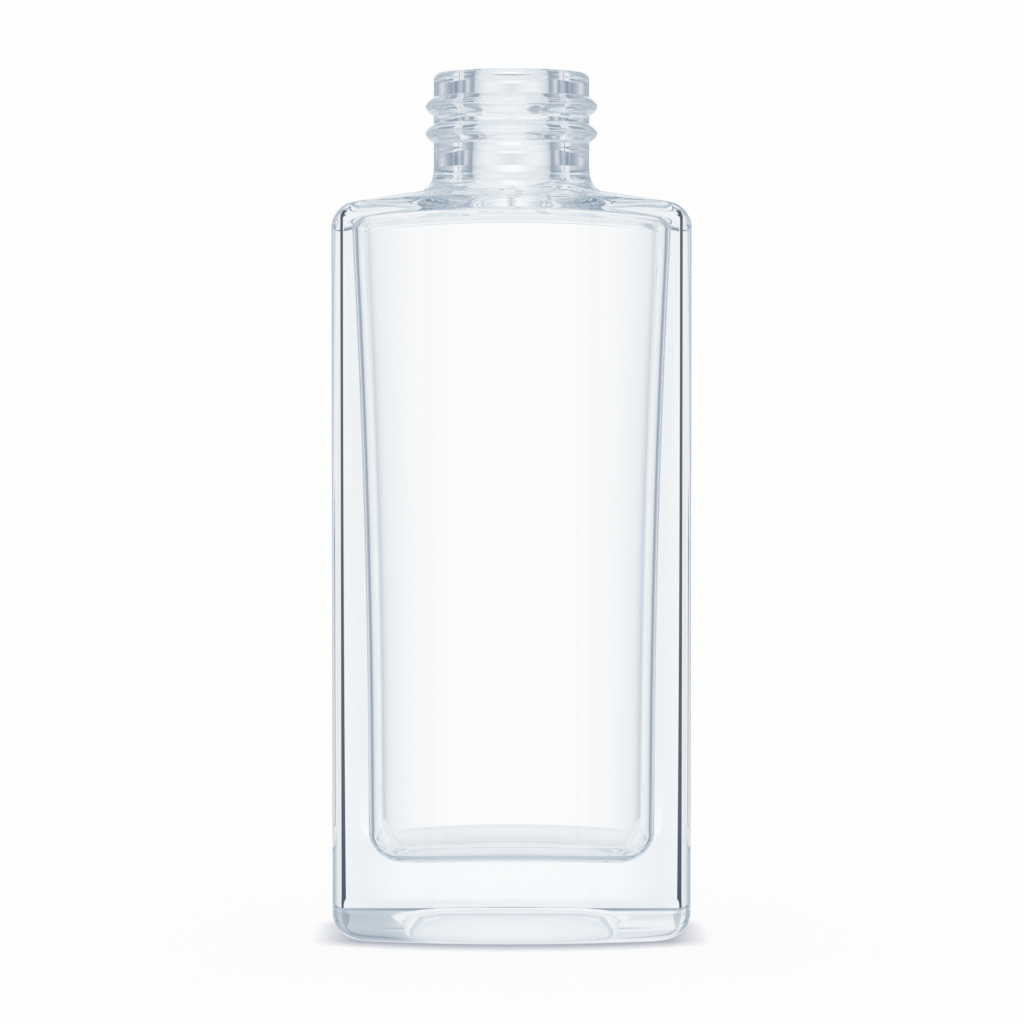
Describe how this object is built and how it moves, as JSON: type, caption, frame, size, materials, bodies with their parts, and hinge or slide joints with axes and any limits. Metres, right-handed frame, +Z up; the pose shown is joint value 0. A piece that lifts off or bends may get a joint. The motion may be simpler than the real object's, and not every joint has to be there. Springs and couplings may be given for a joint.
{
  "type": "aftershave bottle",
  "caption": "Empty clear glass aftershave bottle: upright body with bowed faces, a thick base and a round beaded neck with an open bore.",
  "frame": {"origin": "centre of the base, at the height of the surface that the bottle stands on", "axes": "+Z up along the bore, -Y out of the front bowed face, +X toward the right side face as seen from the front"},
  "size_m": [0.054, 0.033, 0.1313],
  "materials": {
    "clear_glass": "clear, fire-polished"
  },
  "bodies": {
    "root": {"glass_bottle": "clear_glass"}
  },
  "joints": []
}
